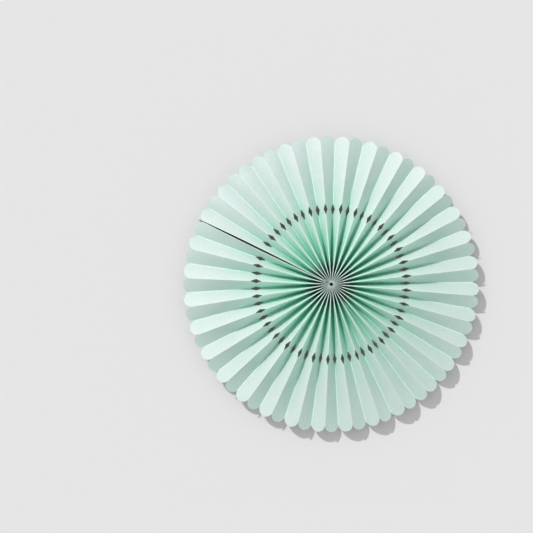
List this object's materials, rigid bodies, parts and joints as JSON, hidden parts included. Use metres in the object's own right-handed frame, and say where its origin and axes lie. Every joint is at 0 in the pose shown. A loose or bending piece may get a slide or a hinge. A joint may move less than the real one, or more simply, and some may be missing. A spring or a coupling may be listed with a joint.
{
  "type": "paper fan rosette",
  "caption": "Round accordion-pleated card rosette with scalloped ends, a ring of diamond cut-outs and one taped seam, as a hanging or table decoration.",
  "frame": {"origin": "centre of the disc, on the surface that it lies on", "axes": "+Z out of the front face, along the axis of the pleats; +X towards the right of the picture and +Y towards its top"},
  "size_m": [0.406, 0.406, 0.0219],
  "materials": {
    "mint_card": "matte",
    "adhesive_tape": "satin"
  },
  "bodies": {
    "root": {"pleated_card": "mint_card", "seam_tape": "adhesive_tape"}
  },
  "joints": []
}
